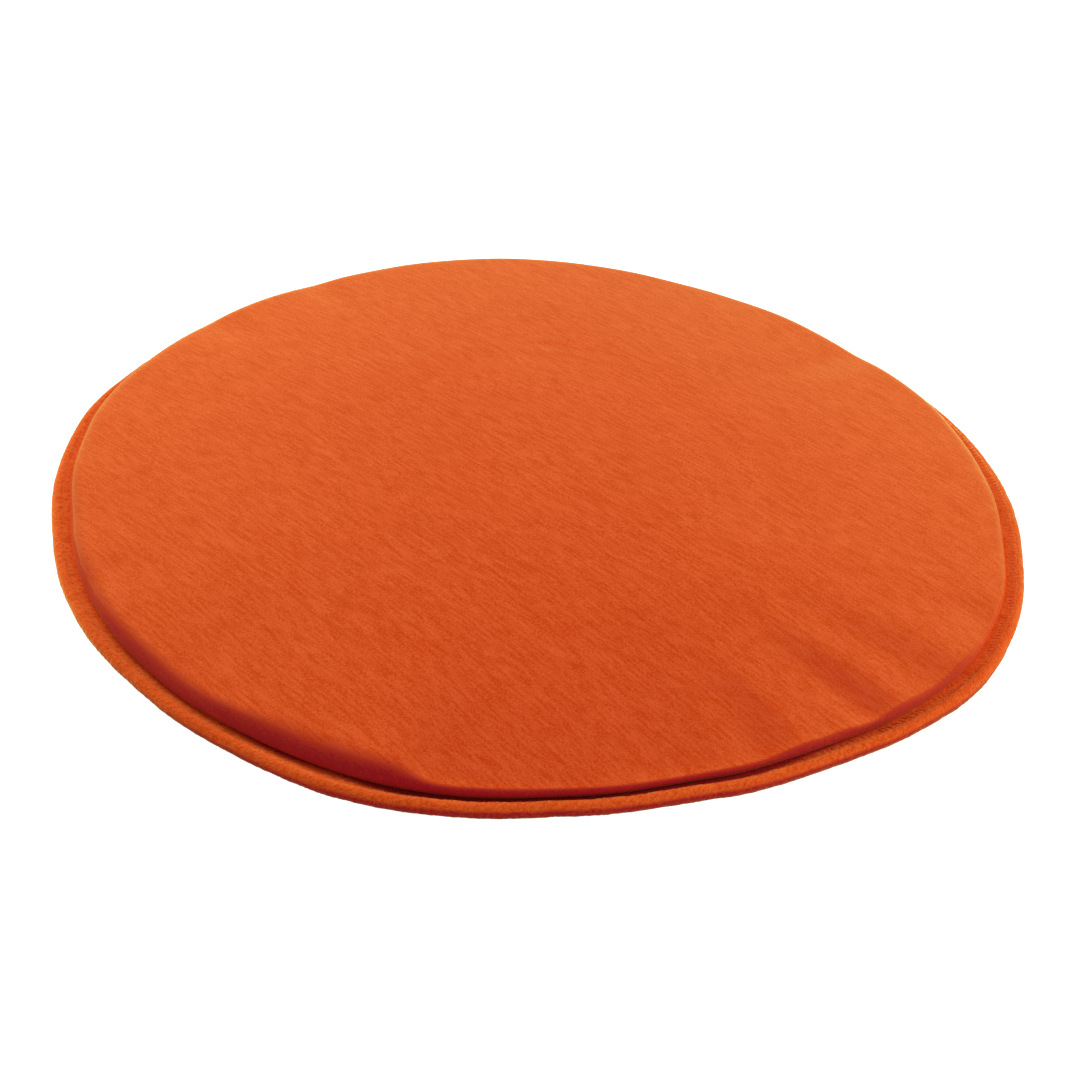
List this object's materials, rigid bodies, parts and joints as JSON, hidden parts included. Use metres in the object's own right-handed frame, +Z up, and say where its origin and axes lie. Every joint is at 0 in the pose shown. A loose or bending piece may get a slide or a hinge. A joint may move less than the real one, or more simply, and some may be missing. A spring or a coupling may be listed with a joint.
{
  "type": "round seat cushion",
  "caption": "Round, thin filled seat pad in orange short-pile cloth, lying flat, with cloth piping sewn round its foot.",
  "frame": {"origin": "middle of the foot, on the surface that the cushion lies on", "axes": "+Z up through the pad's crown; the picture looks along +Y from above, with +X to its right"},
  "size_m": [0.4026, 0.4052, 0.0204],
  "materials": {
    "cover_cloth": "orange short-pile velour, soft sheen, brushed one way",
    "piping_cloth": "orange short-pile velour cut on the bias and folded round a cord"
  },
  "bodies": {
    "root": {"pad": "cover_cloth", "welt": "piping_cloth"}
  },
  "joints": []
}
